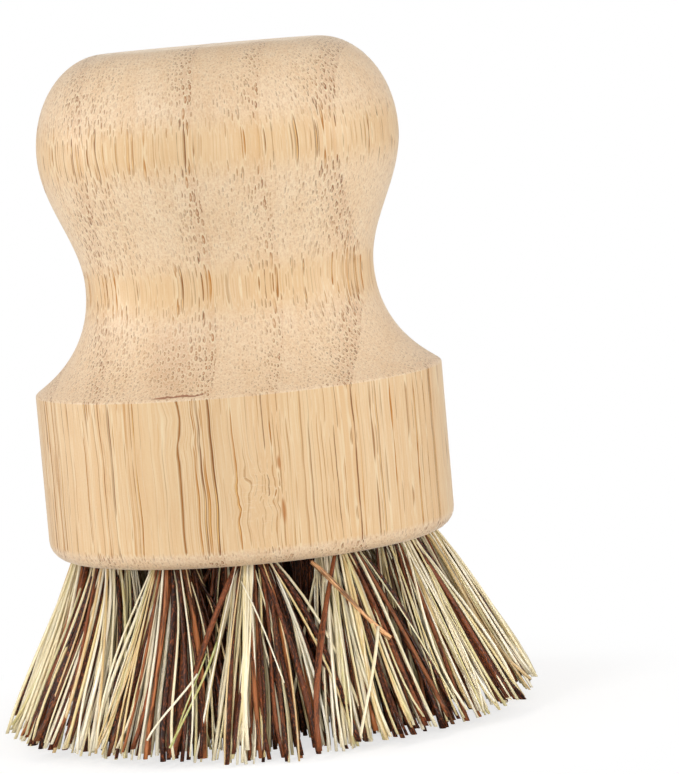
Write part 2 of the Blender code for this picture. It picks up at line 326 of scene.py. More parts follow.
def bundles(g, place, spacing, radius):
    """Fibre bundles that run along Z, cut through: the shares of a point that lie in the
    bundle's pale core, in the dark sheathing round it, with painted shade that makes it darker
    on its right side like the shaded wall of an open pore, and in the pale rim outside, and
    three random numbers of the bundle's own."""
    cells = g.add(
        "ShaderNodeTexVoronoi",
        {"Vector": place, "Scale": 1.0 / spacing, "Randomness": BUNDLE_SCATTER},
        voronoi_dimensions="2D",
    ).outputs
    chances = g.add("ShaderNodeSeparateColor", {0: cells["Color"]}).outputs
    size = g.math("MULTIPLY_ADD", chances[1], radius * 0.7, radius * 0.65)
    away = g.math("DIVIDE", g.math("MULTIPLY", cells["Distance"], spacing), size)
    core = g.ramp(away, 0.22, 0.52, 1.0, 0.0)
    body = g.ramp(away, 0.92, 1.22, 1.0, 0.0)
    rim = g.math("SUBTRACT", g.ramp(away, 1.2, 2.0, 1.0, 0.0), body)
    right = g.math("SUBTRACT", g.split(place)[0], g.split(cells["Position"])[0])
    # Painted shade: this weights the dark sheathing so that it is darker on the bundle's right
    # side, like the shaded wall of an open pore.
    side = g.ramp(g.math("DIVIDE", right, size), -0.8, 0.5, 0.35, 1.0)
    sheath_and_shade = g.math("MULTIPLY", g.math("SUBTRACT", body, core), side)
    return core, sheath_and_shade, rim, chances


def lamination(g, place):
    """The blank's own directions, the strength of the bundles, the strip's tone, and random
    numbers for each length of strip."""
    turned = g.add(
        "ShaderNodeVectorRotate",
        {"Vector": place, "Angle": LAMINATION_TURN},
        rotation_type="Z_AXIS",
    ).outputs[0]
    across, depth, _ = g.split(turned)
    first = BAMBOO_STRIPS[0][0]
    share = g.ramp(across, first, first + BLANK_WIDTH, kind="LINEAR")
    graded, steady = strip_stops()
    strength = g.add("ShaderNodeSeparateColor", {0: g.colours(share, graded)}).outputs[0]
    strip = g.add("ShaderNodeSeparateColor", {0: g.colours(share, steady, "CONSTANT")}).outputs
    shifted = g.math("MULTIPLY_ADD", strip[1], 3.0 * STRIP_DEPTH, depth)
    length = g.math("FLOOR", g.math("DIVIDE", shifted, STRIP_DEPTH))
    chance = g.add("ShaderNodeTexWhiteNoise", {0: g.join(strip[1], length)}).outputs
    return turned, strength, strip[0], chance


def patch(g, place, centre, reach):
    """1 at the middle of an egg-shaped patch, and 0 away from it."""
    away = g.vector("DIVIDE", g.vector("SUBTRACT", place, centre), reach)
    length = g.add("ShaderNodeVectorMath", {0: away}, operation="LENGTH").outputs["Value"]
    return g.ramp(length, 0.30, 1.0, 1.0, 0.0)


def wandering_grain(g, place, turned):
    """How far the grain strays from upright at a point: slowly everywhere, and contorted at the
    scar of a side branch and at the bent grain beside it."""
    slow = g.noise(g.vector("MULTIPLY", turned, WANDER_PACE), 1.0, 2.0, 0.6)["Color"]
    wander = g.vector("MULTIPLY", g.vector("SUBTRACT", slow, (0.5, 0.5, 0.5)), WANDER)
    for centre, reach, amount, pace in (NODE_SCAR, BENT_GRAIN):
        knotted = g.noise(g.vector("MULTIPLY", turned, pace), 1.0, 1.5)["Color"]
        knotted = g.vector("MULTIPLY", g.vector("SUBTRACT", knotted, (0.5, 0.5, 0.5)), amount)
        wander = g.vector("ADD", wander, g.scaled(knotted, patch(g, place, centre, reach)))
    return wander


def crack(g, place, slow):
    """1 in the thin crack at the foot of the flare."""
    across, depth, height = g.split(place)
    level = g.math("MULTIPLY_ADD", across, CRACK_CLIMB, CRACK_HEIGHT)
    level = g.math("MULTIPLY_ADD", g.math("SUBTRACT", slow, 0.5), CRACK_WAVER, level)
    away = g.math("ABSOLUTE", g.math("SUBTRACT", height, level))
    line = g.ramp(away, *CRACK_HALF_WIDTHS, 1.0, 0.0)
    start, end = CRACK_ENDS
    opening = g.ramp(across, start, start + CRACK_FADE)
    closing = g.ramp(across, end - CRACK_FADE, end, 1.0, 0.0)
    inside = g.math("MULTIPLY", opening, closing)
    front = g.math("LESS_THAN", depth, 0.0)
    return g.math("MULTIPLY", g.math("MULTIPLY", line, inside), front)


def bamboo_ground(g, place, turned, bundled, strength, tone, sloped):
    """The colour between the bundles, and the threads, grit and clouds in it, with painted
    highlight as glints.
    """
    ground = g.mix(sloped, *GROUND_COLOURS)
    palest = g.math("MULTIPLY", patch(g, place, *PALE_PATCH), 0.45)
    ground = g.mix(palest, ground, PALEST_COLOUR)
    ground = g.mix(g.math("MULTIPLY", tone, 0.24), ground, TONE_COLOUR)
    cloudy = g.noise(g.vector("MULTIPLY", turned, CLOUD_PACE), 1.0, 2.0)["Fac"]
    ground = g.mix(g.ramp(cloudy, 0.40, 0.65, 0.0, 0.20), ground, CLOUD_COLOUR)
    dense = g.ramp(strength, 0.45, 1.0, 0.0, 0.26)
    dense = g.math("ADD", dense, g.math("MULTIPLY", patch(g, place, *DARK_PATCH), 0.36))
    ground = g.mix(dense, ground, g.mix(sloped, *DENSE_COLOURS))
    threads = g.noise(g.vector("MULTIPLY", bundled, THREAD_PACE), 1.0, 3.0, 0.65)["Fac"]
    ground = g.mix(g.ramp(threads, 0.40, 0.70, 0.0, 0.24), ground, THREAD_COLOUR)
    grit = g.noise(place, 4.0, 2.0, 0.7)["Fac"]
    gritty = g.math("MULTIPLY", g.ramp(grit, 0.46, 0.68, 0.0, 0.38), sloped)
    ground = g.mix(gritty, ground, GRIT_COLOUR)
    # Painted highlight: near-white glints, stronger on slopes.
    glint = g.math("MULTIPLY", g.ramp(grit, 0.54, 0.32), g.ramp(sloped, 0.0, 1.0, 0.05, 0.22))
    ground = g.mix(glint, ground, GLINT_COLOUR)
    return ground, threads, grit, cloudy


def bundle_power(g, place, bundled, strength, chance, sloped):
    """How clearly each bundle shows. Where the surface is upright, only some do, the more the
    stronger the strip, and they fade along their length. On slopes all of them show."""
    fading = g.noise(g.vector("MULTIPLY", bundled, FADING_PACE), 1.0, 1.0)["Fac"]
    upright = g.ramp(g.math("SUBTRACT", strength, chance), -0.32, 0.16)
    upright = g.math("MULTIPLY", upright, g.ramp(fading, 0.36, 0.50, 0.35, 1.0))
    on_slope = g.math("MULTIPLY_ADD", chance, 0.45, 0.55)
    on_slope = g.math("MULTIPLY", on_slope, g.ramp(strength, 0.20, 0.95, 0.14, 1.0))
    power = g.blend(sloped, upright, on_slope)
    power = g.math("MULTIPLY_ADD", patch(g, place, *DARK_PATCH), 0.5, power)
    return g.math("MULTIPLY_ADD", patch(g, place, *BENT_GRAIN[:2]), 0.35, power, clamp=True)


def add_bundles(g, ground, sloped, coarse, power, fine, fine_rim):
    """The ground with the bundles drawn on it: pale rims, dark sheaths with painted shade on
    their right sides, and paler hearts.
    """
    core, sheath_and_shade, rim, chances = coarse
    pale = g.math("MULTIPLY", g.math("MULTIPLY", rim, power), g.blend(sloped, 0.42, 0.66))
    colour = g.mix(pale, ground, RIM_COLOUR)
    colour = g.mix(g.math("MULTIPLY", fine_rim, 0.22), colour, FINE_RIM_COLOUR)
    streak = g.mix(chances[2], *STREAK_COLOURS)
    bundle = g.mix(sloped, streak, g.mix(chances[2], *DOT_COLOURS))
    colour = g.mix(g.math("MULTIPLY", fine, g.blend(sloped, 0.92, 0.80)), colour, bundle)
    heart = g.mix(sloped, *HEART_COLOURS)
    colour = g.mix(g.math("MULTIPLY", g.math("MULTIPLY", core, power), 0.75), colour, heart)
    dark = g.math("MULTIPLY", sheath_and_shade, power)
    colour = g.mix(g.math("MULTIPLY", dark, g.blend(sloped, 1.0, 0.92)), colour, bundle)
    return colour, dark


def add_marks(g, colour, place, turned, bundled, cloudy):
    """The colour with the scar's pale dashes, the glue lines, the sap and the crack added, and
    the crack's own share of each point."""
    scar = patch(g, place, *NODE_SCAR[:2])
    dashes = g.noise(g.vector("MULTIPLY", bundled, DASH_PACE), 1.0, 2.0)["Fac"]
    dashed = g.math("MULTIPLY", g.ramp(dashes, 0.62, 0.70), g.ramp(scar, 0.3, 1.0, 0.0, 0.25))
    colour = g.mix(dashed, colour, SCAR_COLOUR)
    for left, _, _, _ in BAMBOO_STRIPS[1:]:
        away = g.math("ABSOLUTE", g.math("SUBTRACT", g.split(turned)[0], left))
        glue = g.math("MULTIPLY", g.ramp(away, 0.02, 0.08, 0.12, 0.0), g.ramp(cloudy, 0.46, 0.6))
        colour = g.mix(glue, colour, GLUE_COLOUR)
    for centre, reach in SAP_BLOTS:
        sap = g.math("MULTIPLY", patch(g, place, centre, reach), 0.8)
        colour = g.mix(sap, colour, SAP_COLOUR)
    cracked = crack(g, place, cloudy)
    colour = g.mix(g.math("MULTIPLY", cracked, 0.8), colour, CRACK_COLOUR)
    return colour, cracked


def bamboo_material():
    """Laminated bamboo: strips of long bundles, seen as streaks upright and as dots on slopes."""
    material = bpy.data.materials.new("laminated_bamboo")
    g = Nodes(material)
    place = g.scaled(g.add("ShaderNodeTexCoord").outputs["Object"], 1.0 / MM)
    slope = g.math("ABSOLUTE", g.split(g.add("ShaderNodeNewGeometry").outputs["Normal"])[2])
    sloped = g.ramp(slope, 0.06, 0.34)
    turned, strength, tone, chance = lamination(g, place)
    tone = g.math("MULTIPLY_ADD", chance["Value"], 0.4, tone)
    wandered = g.vector("ADD", turned, wandering_grain(g, place, turned))
    bundled = g.vector("ADD", wandered, g.scaled(chance["Color"], CHANCE_SHIFT))
    coarse = bundles(g, bundled, BUNDLE_SPACING, BUNDLE_RADIUS)
    fine_core, fine_sheath_and_shade, fine_rim, fine_chances = bundles(g, bundled, FINE_SPACING, FINE_RADIUS)
    power = bundle_power(g, place, bundled, strength, coarse[3][0], sloped)
    fine = g.math("MULTIPLY", g.math("MAXIMUM", fine_core, fine_sheath_and_shade), 0.85)
    fine = g.math("MULTIPLY", fine, g.math("MULTIPLY_ADD", strength, 0.75, 0.25))
    fine = g.math("MULTIPLY", fine, g.ramp(fine_chances[0], 0.2, 0.9, 0.3, 1.6, "LINEAR"))

    made = bamboo_ground(g, place, turned, bundled, strength, tone, sloped)
    ground, threads, grit, cloudy = made
    colour, dark = add_bundles(g, ground, sloped, coarse, power, fine, fine_rim)
    colour, cracked = add_marks(g, colour, place, turned, bundled, cloudy)

    relief = g.math("MULTIPLY_ADD", dark, -1.0, g.math("MULTIPLY", fine, -0.6))
    relief = g.math("MULTIPLY_ADD", grit, 0.7, relief)
    relief = g.math("MULTIPLY_ADD", threads, -0.3, relief)
    relief = g.math("MULTIPLY_ADD", cracked, -1.5, relief)
    bump = g.add("ShaderNodeBump", {"Height": relief, "Strength": 0.8, "Distance": BAMBOO_RELIEF})
    roughness = g.math("MULTIPLY_ADD", dark, 0.10, g.ramp(grit, 0.3, 0.7, 0.44, 0.54))
    shader = g.surface(Base_Color=colour, Roughness=roughness, Normal=bump.outputs[0])
    for name, value in BAMBOO_FINISH.items():
        shader.inputs[name].default_value = value
    return material


# Tints that differ from fibre to fibre, the last of each kind almost only for loose fibres,
# and how fast the bark changes round a fibre and along it
STRAW_TINTS = (
    (242, 228, 190),
    (250, 242, 221),
    (220, 203, 146),
    (246, 233, 202),
    (206, 194, 134),
    (250, 243, 225),
    (224, 202, 140),
    (210, 172, 118),
    (170, 174, 96),
)
PALM_TINTS = (
    (37, 17, 11),
    (56, 28, 18),
    (100, 53, 32),
    (188, 116, 68),
    (40, 20, 13),
    (68, 35, 23),
    (140, 79, 46),
    (33, 16, 11),
    (240, 184, 130),
)
BARK_PACE = (0.8, 0.8, 1.3)


def fibre_material(name, tints, bark, fleck, pace, shares, roughness, gloss, relief):
    """Plant fibre whose tint differs from fibre to fibre: one side of it is barked, and flecks
    of another colour lie along it, the smaller the higher their pace round and along it. shares
    are those of bark and flecks at their most, and gloss is specular level and coat."""
    material = bpy.data.materials.new(name)
    g = Nodes(material)
    grain = g.add("ShaderNodeAttribute", attribute_name="fibre_grain").outputs["Vector"]
    chance = g.add("ShaderNodeAttribute", attribute_name="fibre_chance").outputs["Fac"]
    stops = [(number / (len(tints) - 1), srgb(*tint)) for number, tint in enumerate(tints)]
    tint = g.colours(chance, stops)
    barked = g.noise(g.vector("MULTIPLY", grain, BARK_PACE), 1.0, 2.0, 0.6)["Fac"]
    colour = g.mix(g.ramp(barked, 0.42, 0.62, 0.0, shares[0]), tint, srgb(*bark))
    flecks = g.noise(g.vector("MULTIPLY", grain, pace), 1.6, 2.0, 0.65)["Fac"]
    colour = g.mix(g.ramp(flecks, 0.50, 0.66, 0.0, shares[1]), colour, srgb(*fleck))
    bump = g.add("ShaderNodeBump", {"Height": flecks, "Strength": 0.6, "Distance": relief})
    rough = g.ramp(flecks, 0.35, 0.65, roughness - 0.06, roughness + 0.10)
    shader = g.surface(Base_Color=colour, Roughness=rough, Normal=bump.outputs[0])
    shader.inputs["Specular IOR Level"].default_value = gloss[0]
    shader.inputs["Coat Weight"].default_value = gloss[1]
    shader.inputs["Coat Roughness"].default_value = 0.28
    return material


def fibre_materials():
    straw = fibre_material(
        "straw_fibre",
        STRAW_TINTS,
        bark=(218, 192, 132),
        fleck=(255, 250, 236),
        pace=(0.7, 0.7, 1.6),
        shares=(0.40, 0.35),
        roughness=0.38,
        gloss=(0.5, 0.22),
        relief=0.012 * MM,
    )
    palm = fibre_material(
        "palm_fibre",
        PALM_TINTS,
        bark=(26, 12, 8),
        fleck=(176, 96, 54),
        pace=(1.3, 1.3, 7.0),
        shares=(0.85, 0.56),
        roughness=0.42,
        gloss=(0.24, 0.03),
        relief=0.05 * MM,
    )
    return straw, palm


WIRE_COLOURS = (srgb(150, 152, 154), srgb(198, 200, 202))
WIRE_RELIEF = 0.01 * MM


def wire_material():
    """Dull galvanised wire with a fine spangle."""
    material = bpy.data.materials.new("galvanised_wire")
    g = Nodes(material)
    place = g.scaled(g.add("ShaderNodeTexCoord").outputs["Object"], 1.0 / MM)
    spangle = g.noise(place, 4.0, 3.0, 0.6)["Fac"]
    colour = g.mix(g.ramp(spangle, 0.35, 0.65), *WIRE_COLOURS)
    rough = g.ramp(spangle, 0.3, 0.7, 0.28, 0.48)
    bump = g.add("ShaderNodeBump", {"Height": spangle, "Strength": 0.3, "Distance": WIRE_RELIEF})
    g.surface(Base_Color=colour, Roughness=rough, Normal=bump.outputs[0], Metallic=1.0)
    return material


def arc(centre, radius, start, end, steps):
    """Points of an arc, as (radius, height) pairs; radius may differ across and up."""
    points = []
    for step in range(steps + 1):
        angle = start + (end - start) * step / steps
        across = centre[0] + radius[0] * math.cos(angle)
        points.append((across, centre[1] + radius[1] * math.sin(angle)))
    return points


def bezier(nodes, steps):
    """Points of a cubic curve through numpy points, its ends included."""
    t = np.linspace(0.0, 1.0, steps + 1)[:, None]
    a, b, c, d = (np.asarray(node, float) for node in nodes)
    return a * (1 - t) ** 3 + b * 3 * t * (1 - t) ** 2 + c * 3 * t * t * (1 - t) + d * t**3


def handle_outline():
    """The turned outline from the crown's flat down to the underside's flat."""
    crown_centre = (CROWN_FLAT_RADIUS, KNOB_HEIGHT)
    crown_size = (KNOB_RADIUS - CROWN_FLAT_RADIUS, CROWN - KNOB_HEIGHT)
    crown = arc(crown_centre, crown_size, math.pi / 2, 0.0, CURVE_STEPS)
    upper, lower = NECK_HANDLE_SHARES
    neck = bezier(
        (
            (KNOB_RADIUS, KNOB_HEIGHT),
            (KNOB_RADIUS, KNOB_HEIGHT - NECK_RISE * upper),
            (WAIST_RADIUS, WAIST_HEIGHT + NECK_RISE * lower),
            (WAIST_RADIUS, WAIST_HEIGHT),
        ),
        CURVE_STEPS,
    )
    rounding = (SHOULDER_ROUNDING, SHOULDER_ROUNDING)
    shoulder_centre = (BAND_RADIUS - SHOULDER_ROUNDING, BAND_TOP)
    shoulder = arc(shoulder_centre, rounding, FLARE_LEAN, 0.0, ROUNDING_STEPS)
    upper, lower = FLARE_HANDLE_SHARES
    reach = FLARE_RISE * lower
    edge_radius, edge_height = shoulder[0]
    flare = bezier(
        (
            (WAIST_RADIUS, WAIST_HEIGHT),
            (WAIST_RADIUS, WAIST_HEIGHT - FLARE_RISE * upper),
            (
                edge_radius - reach * math.sin(FLARE_LEAN),
                edge_height + reach * math.cos(FLARE_LEAN),
            ),
            shoulder[0],
        ),
        CURVE_STEPS,
    )
    rounding = (LOWER_EDGE_ROUNDING, LOWER_EDGE_ROUNDING)
    edge_centre = (BAND_RADIUS - LOWER_EDGE_ROUNDING, UNDERSIDE + LOWER_EDGE_ROUNDING)
    edge = arc(edge_centre, rounding, 0.0, -math.pi / 2, ROUNDING_STEPS)
    heights = np.linspace(BAND_TOP, edge_centre[1], BAND_STEPS + 1)[1:-1]
    band = [(BAND_RADIUS, height) for height in heights]
    return [*crown, *neck[1:], *flare[1:], *shoulder[1:], *band, *edge]


def hole_placement(ring_radius, slant, azimuth):
    """The frame of a hole: its origin at the mouth, +Z up into the bamboo, +X outwards."""
    turned = Matrix.Rotation(azimuth, 4, "Z")
    moved = Matrix.Translation((ring_radius, 0.0, UNDERSIDE))
    return turned @ moved @ Matrix.Rotation(-slant, 4, "Y")


def tuft_places():
    """Each tuft's name ending, placement, azimuth and the part of the face its tips fill."""
    places = [("center", hole_placement(0.0, 0.0, 0.0), 0.0, None)]
    rings = (
        ("inner", INNER_TUFTS, math.pi / 12, INNER_RING_RADIUS, INNER_SLANT, INNER_TIPS),
        ("outer", OUTER_TUFTS, 0.0, OUTER_RING_RADIUS, OUTER_SLANT, OUTER_TIPS),
    )
    for ring, count, first, ring_radius, slant, tips in rings:
        for index in range(count):
            azimuth = first + 2 * math.pi * index / count
            placement = hole_placement(ring_radius, slant, azimuth)
            places.append((f"{ring}_{index + 1}", placement, azimuth, tips))
    return places


def mesh_object(name, mesh, *materials):
    for material in materials:
        mesh.materials.append(material)
    made = bpy.data.objects.new(name, mesh)
    bpy.context.scene.collection.objects.link(made)
    return made


def turned_blank(bamboo):
    """The handle before its holes are drilled: its outline spun round the axis."""
    bm = bmesh.new()
    verts = [bm.verts.new((radius, 0.0, height)) for radius, height in handle_outline()]
    edges = [bm.edges.new(pair) for pair in zip(verts, verts[1:])]
    bmesh.ops.spin(
        bm,
        geom=verts + edges,
        axis=(0, 0, 1),
        cent=(0, 0, 0),
        angle=2 * math.pi,
        steps=TURNED_SEGMENTS,
        use_merge=True,
    )
    bmesh.ops.holes_fill(bm, edges=bm.edges[:], sides=0)
    bmesh.ops.recalc_face_normals(bm, faces=bm.faces)
    mesh = bpy.data.meshes.new("handle_blank")
    bm.to_mesh(mesh)
    bm.free()
    return mesh_object("handle_blank", mesh, bamboo)


def all_drills(places, bamboo):
    """A drill in each hole, as long below its mouth as above."""
    bm = bmesh.new()
    for _, placement, _, _ in places:
        bmesh.ops.create_cone(
            bm,
            cap_ends=True,
            segments=HOLE_SIDES,
            radius1=HOLE_RADIUS,
            radius2=HOLE_RADIUS,
            depth=2 * HOLE_DEPTH,
            matrix=placement,
        )
    mesh = bpy.data.meshes.new("drills")
    bm.to_mesh(mesh)
    bm.free()
    return mesh_object("drills", mesh, bamboo)


def build_handle(places, bamboo):
    """The turned handle with its drilled holes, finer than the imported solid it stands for."""
    blank = turned_blank(bamboo)
    drills = all_drills(places, bamboo)
    drilled = blank.modifiers.new("drilled", "BOOLEAN")
    drilled.operation = "DIFFERENCE"
    drilled.solver = "EXACT"
    drilled.object = drills
    bpy.context.view_layer.update()
    result = bpy.data.meshes.new_from_object(
        blank.evaluated_get(bpy.context.evaluated_depsgraph_get())
    )
    for old in (blank, drills):
        bpy.data.objects.remove(old)
    result.shade_smooth()
    result.set_sharp_from_angle(angle=SHARP_ANGLE)
    handle = mesh_object("turned_handle", result)
    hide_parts("bamboo_handle")
    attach(handle, "root")


# The two kinds of fibre: their material slots, and for straw and palm in turn how many sides
# they have, how uneven they are and how far they stray from their way
STRAW = 0
PALM = 1
SIDES = (5, 7)
UNEVENNESS = (0.04, 0.10)
LOOSENESS = (0.55 * MM, 0.40 * MM)
STRAW_RADII = (0.10 * MM, 0.27 * MM)
PALM_RADII = (0.16 * MM, 0.39 * MM)

# How many folded fibres, palm and straw, are in a tuft of the outer ring, in a tuft further in
# and in a pale one
OUTER_COUNTS = (19, 34)
# Painted shade: the tufts further in are mostly dark palm, which stands in for the shade deep among
# the tufts.
INNER_COUNTS = (30, 7)
PALE_COUNTS = (7, 50)

# How the roots of a tuft are packed: the share of their radius that they are pressed to in the
# hole, and of that how close they come, the half width of a clump of straws as a share of the
# plug's radius, and the share of fibres of the wrong kind for their place that are turned away
PRESSED_SHARE = 0.68
CLOSENESS = 0.96
STRAW_CLUMP = 0.50
TURNED_AWAY = 0.75
MOST_TRIES = 3000

# How a limb runs: the steps of its curve, how early it spreads sideways, its bow, its droop as
# shares of its length near the hole and further on, how much looser it is there, how fast its
# radius swells and sinks, and how flat it may be
FIBRE_STEPS = 9
EARLY_SPREAD = 0.16
BOW = 0.5 * MM
DROOP_SHARES = (0.014, 0.022)
FAR_LOOSENESS = 1.6
SWELL_PACE = 0.9
MOST_FLATNESS = 0.25

# Stray fibres: their share, how much further they stray, and how much shorter they may be
STRAY_SHARE = 0.06
STRAY_SCATTER = 2.4
STRAY_RISE = 1.5 * MM

# The fold over the staple: how far its two limbs differ in place, how much narrower it is than
# the plug, where on the way up it starts, how far out its foot and its shoulder are as shares of
# the limb's place, how high its shoulders are as a share of its top, and the share of the room
# above the staple that the outermost fibres rise into
FOLD_SHIFT = 0.05 * MM
FOLD_START = 0.5
FOLD_OUT_SHARES = (0.97, 0.70)
FOLD_NARROWING = 0.72
FOLD_SHOULDER = 0.72
FOLD_ROOM_SHARE = 0.75

# A fibre's own place in its grain and among its tints, and the tint that only loose ones have
GRAIN_PACE = 0.22
GRAIN_RANGE = 60.0
ASKEW = (0.31, 0.83, 0.46)
USUAL_TINTS = 0.90
LOOSE_TINT = 1.0

# Tufts whose straws lie to one side: where the middle of their clump is, as a share of the
# plug's radius from its middle, and how many folded fibres of each kind the tuft has
CLUMPED_TUFTS = {
    "outer_7": (0.1, PALE_COUNTS),
    "outer_8": (0.75, OUTER_COUNTS),
    "outer_9": (-0.8, OUTER_COUNTS),
    "outer_10": (-0.65, OUTER_COUNTS),
    "outer_11": (-0.55, OUTER_COUNTS),
    "outer_12": (-0.35, OUTER_COUNTS),
    "outer_1": (-0.1, PALE_COUNTS),
}

# Loose fibres that lie against the front: how far they bow, how many sides they have, how flat
# they are, and for each the tuft it is caught in, both ends in millimetres, kind, radius in
# millimetres and tint
LOOSE_BOW = 0.35 * MM
LOOSE_SIDES = 7
LOOSE_FLATNESS = 0.2
LOOSE_FIBRES = (
    ("outer_10", (6.3, -21.2, 21.0), (14.5, -22.3, 11.6), PALM, 0.26, LOOSE_TINT),
    ("outer_10", (-5.1, -23.6, 13.2), (-11.4, -28.9, 2.5), STRAW, 0.11, LOOSE_TINT),
    ("outer_10", (-6.4, -23.7, 12.0), (-11.0, -28.4, 2.8), STRAW, 0.075, LOOSE_TINT),
    ("outer_9", (-7.6, -25.2, 10.0), (-13.9, -27.2, 3.3), STRAW, 0.11, 0.6),
    ("outer_11", (13.2, -22.9, 13.2), (9.8, -28.8, 1.2), STRAW, 0.16, 0.4),
    ("outer_10", (-1.8, -22.0, 19.6), (2.0, -27.2, 8.4), STRAW, 0.09, 0.6),
)


class FibreMesh:
    """Tubes gathered into one mesh, each with its own grain and chance."""

    def __init__(self):
        self.verts = []
        self.faces = []
        self.smooth = []
        self.slots = []
        self.grain = []
        self.chance = []

    def add(self, points, radii, sides, flatness, slot, rng, cuts=(None, None), chance=None):
        """A tube along the points. cuts are the heights its two ends are cut flat at, and
        chance picks its tint."""
        points = np.asarray(points, float)
        steps = np.diff(points, axis=0)
        lengths = np.linalg.norm(steps, axis=1)
        directions = steps / lengths[:, None]
        tangents = np.vstack([directions[:1], directions[:-1] + directions[1:], directions[-1:]])
        tangents /= np.linalg.norm(tangents, axis=1)[:, None]
        along = np.concatenate([[0.0], np.cumsum(lengths)]) / MM
        turn = rng.uniform(0.0, 2 * math.pi)
        angles = turn + np.arange(sides) * 2 * math.pi / sides
        if chance is None:
            chance = rng.random() * USUAL_TINTS
        offset = rng.uniform(0.0, GRAIN_RANGE, 3)
        corners = list(zip(np.cos(angles), np.sin(angles)))
        self.add_faces(len(self.verts), len(points), sides, slot)
        self.chance.extend([chance] * (sides * len(points)))
        side = np.cross(tangents[0], ASKEW)
        last = len(points) - 1
        for index, (point, tangent, radius) in enumerate(zip(points, tangents, radii)):
            side = side - tangent * side.dot(tangent)
            side /= np.linalg.norm(side)
            other = np.cross(tangent, side)
            wide = np.cos(angles)[:, None] * side * (1 + flatness)
            thin = np.sin(angles)[:, None] * other * (1 - flatness)
            ring = point + (wide + thin) * radius
            cut = {0: cuts[0], last: cuts[1]}.get(index)
            if cut is not None:
                ring = ring + tangent * ((cut - ring[:, 2]) / tangent[2])[:, None]
            self.verts.extend(ring)
            for corner in corners:
                self.grain.append((*corner, along[index] * GRAIN_PACE) + offset)

    def add_faces(self, start, rings, sides, slot):
        """The faces of a tube whose first corner has the number start: its side and two ends."""
        for near in range(start, start + (rings - 1) * sides, sides):
            far = near + sides
            for corner in range(sides):
                following = (corner + 1) % sides
                self.faces.append((near + corner, near + following, far + following, far + corner))
                self.smooth.append(True)
                self.slots.append(slot)
        last = start + (rings - 1) * sides
        self.faces.append(tuple(range(start, start + sides))[::-1])
        self.faces.append(tuple(range(last, last + sides)))
        self.smooth.extend([False, False])
        self.slots.extend([slot, slot])

    def build(self, name, *materials):
        mesh = bpy.data.meshes.new(name)
        mesh.from_pydata([tuple(vert) for vert in self.verts], [], self.faces)
        mesh.polygons.foreach_set("use_smooth", self.smooth)
        mesh.polygons.foreach_set("material_index", self.slots)
        grain = mesh.attributes.new("fibre_grain", "FLOAT_VECTOR", "POINT")
        grain.data.foreach_set("vector", np.asarray(self.grain, np.float32).ravel())
        chance = mesh.attributes.new("fibre_chance", "FLOAT", "POINT")
        chance.data.foreach_set("value", np.asarray(self.chance, np.float32))
        mesh.update()
        return mesh_object(name, mesh, *materials)


def packed_roots(ending, rng):
    """Places of folded fibres' outer limbs across half a hole, palm first, about as far apart
    as they lie when they are pressed: x and y, radius and kind of each."""
    usual = OUTER_COUNTS if ending.startswith("outer") else INNER_COUNTS
    middle, counts = CLUMPED_TUFTS.get(ending, (rng.uniform(-0.5, 0.5), usual))
    roots = []
    palm_count, straw_count = counts
    for slot, count, (thin, thick) in (
        (PALM, palm_count, PALM_RADII),
        (STRAW, straw_count, STRAW_RADII),
    ):
        made = 0
        for _ in range(MOST_TRIES):
            if made == count:
                break
            radius = rng.uniform(thin, thick)
            angle = rng.uniform(-math.pi / 2, math.pi / 2)
            reach = (PLUG_RADIUS - radius) * math.sqrt(rng.random())
            x, y = reach * math.cos(angle), reach * math.sin(angle)
            if x < WIRE_RADIUS + radius:
                continue
            clumped = abs(y / PLUG_RADIUS - middle) < STRAW_CLUMP
            if clumped == (slot == PALM) and rng.random() < TURNED_AWAY:
                continue
            gap = PRESSED_SHARE * CLOSENESS
            if all(math.hypot(x - u, y - v) > (radius + r) * gap for u, v, r, _ in roots):
                roots.append((x, y, radius, slot))
                made += 1
    return roots


def disc_share(across):
    """The share of a round plug's fibres on one side of a line across it."""
    share = max(-1.0, min(1.0, across / PLUG_RADIUS))
    return 0.5 + (share * math.sqrt(1.0 - share**2) + math.asin(share)) / math.pi


def tip_place(azimuth, tips, x, y):
    """Where on the brush's face a fibre ends: the tips of a tuft fill its part evenly."""
    if tips is None:
        return np.array((x, y, 0.0)) * CENTRE_TIPS / PLUG_RADIUS
    near, far, half_angle = tips
    reach = near + (far - near) * disc_share(x)
    turn = azimuth + (2.0 * disc_share(y) - 1.0) * half_angle
    return np.array((math.cos(turn), math.sin(turn), 0.0)) * reach


def cut_tip(azimuth, tips, x, y, rng):
    """The cut tip of a fibre on the brush's face."""
    stray = rng.random() < STRAY_SHARE
    outwards = np.array((math.cos(azimuth), math.sin(azimuth), 0.0))
    across = np.array((-math.sin(azimuth), math.cos(azimuth), 0.0))
    further, aside = rng.normal(0.0, TIP_SCATTER) * (STRAY_SCATTER if stray else 1.0)
    tip = tip_place(azimuth, tips, x, y) + outwards * further + across * aside
    reach = np.linalg.norm(tip)
    limit = TIP_LIMIT - abs(rng.normal(0.0, TIP_LIMIT_SCATTER))
    if reach > limit:
        tip = tip * limit / reach
        reach = limit
    outer = max(reach - CUT_FLAT_RADIUS, 0.0) / (TIP_LIMIT - CUT_FLAT_RADIUS)
    front = max(-tip[1] / reach, 0.0) * math.exp(-((tip[0] / FRONT_LEVEL_WIDTH) ** 2))
    rise = CUT_RISE * (1.0 - front)
    ragged = CUT_ROUGHNESS * (1.0 - FRONT_EVENNESS * front)
    cut = LOWEST_TIP + rise * outer**2 + ragged * rng.random() ** RAGGED_POWER
    if stray:
        cut += STRAY_RISE * rng.random()
    tip[0] += FACE_SHIFT
    tip[2] = cut
    return tip


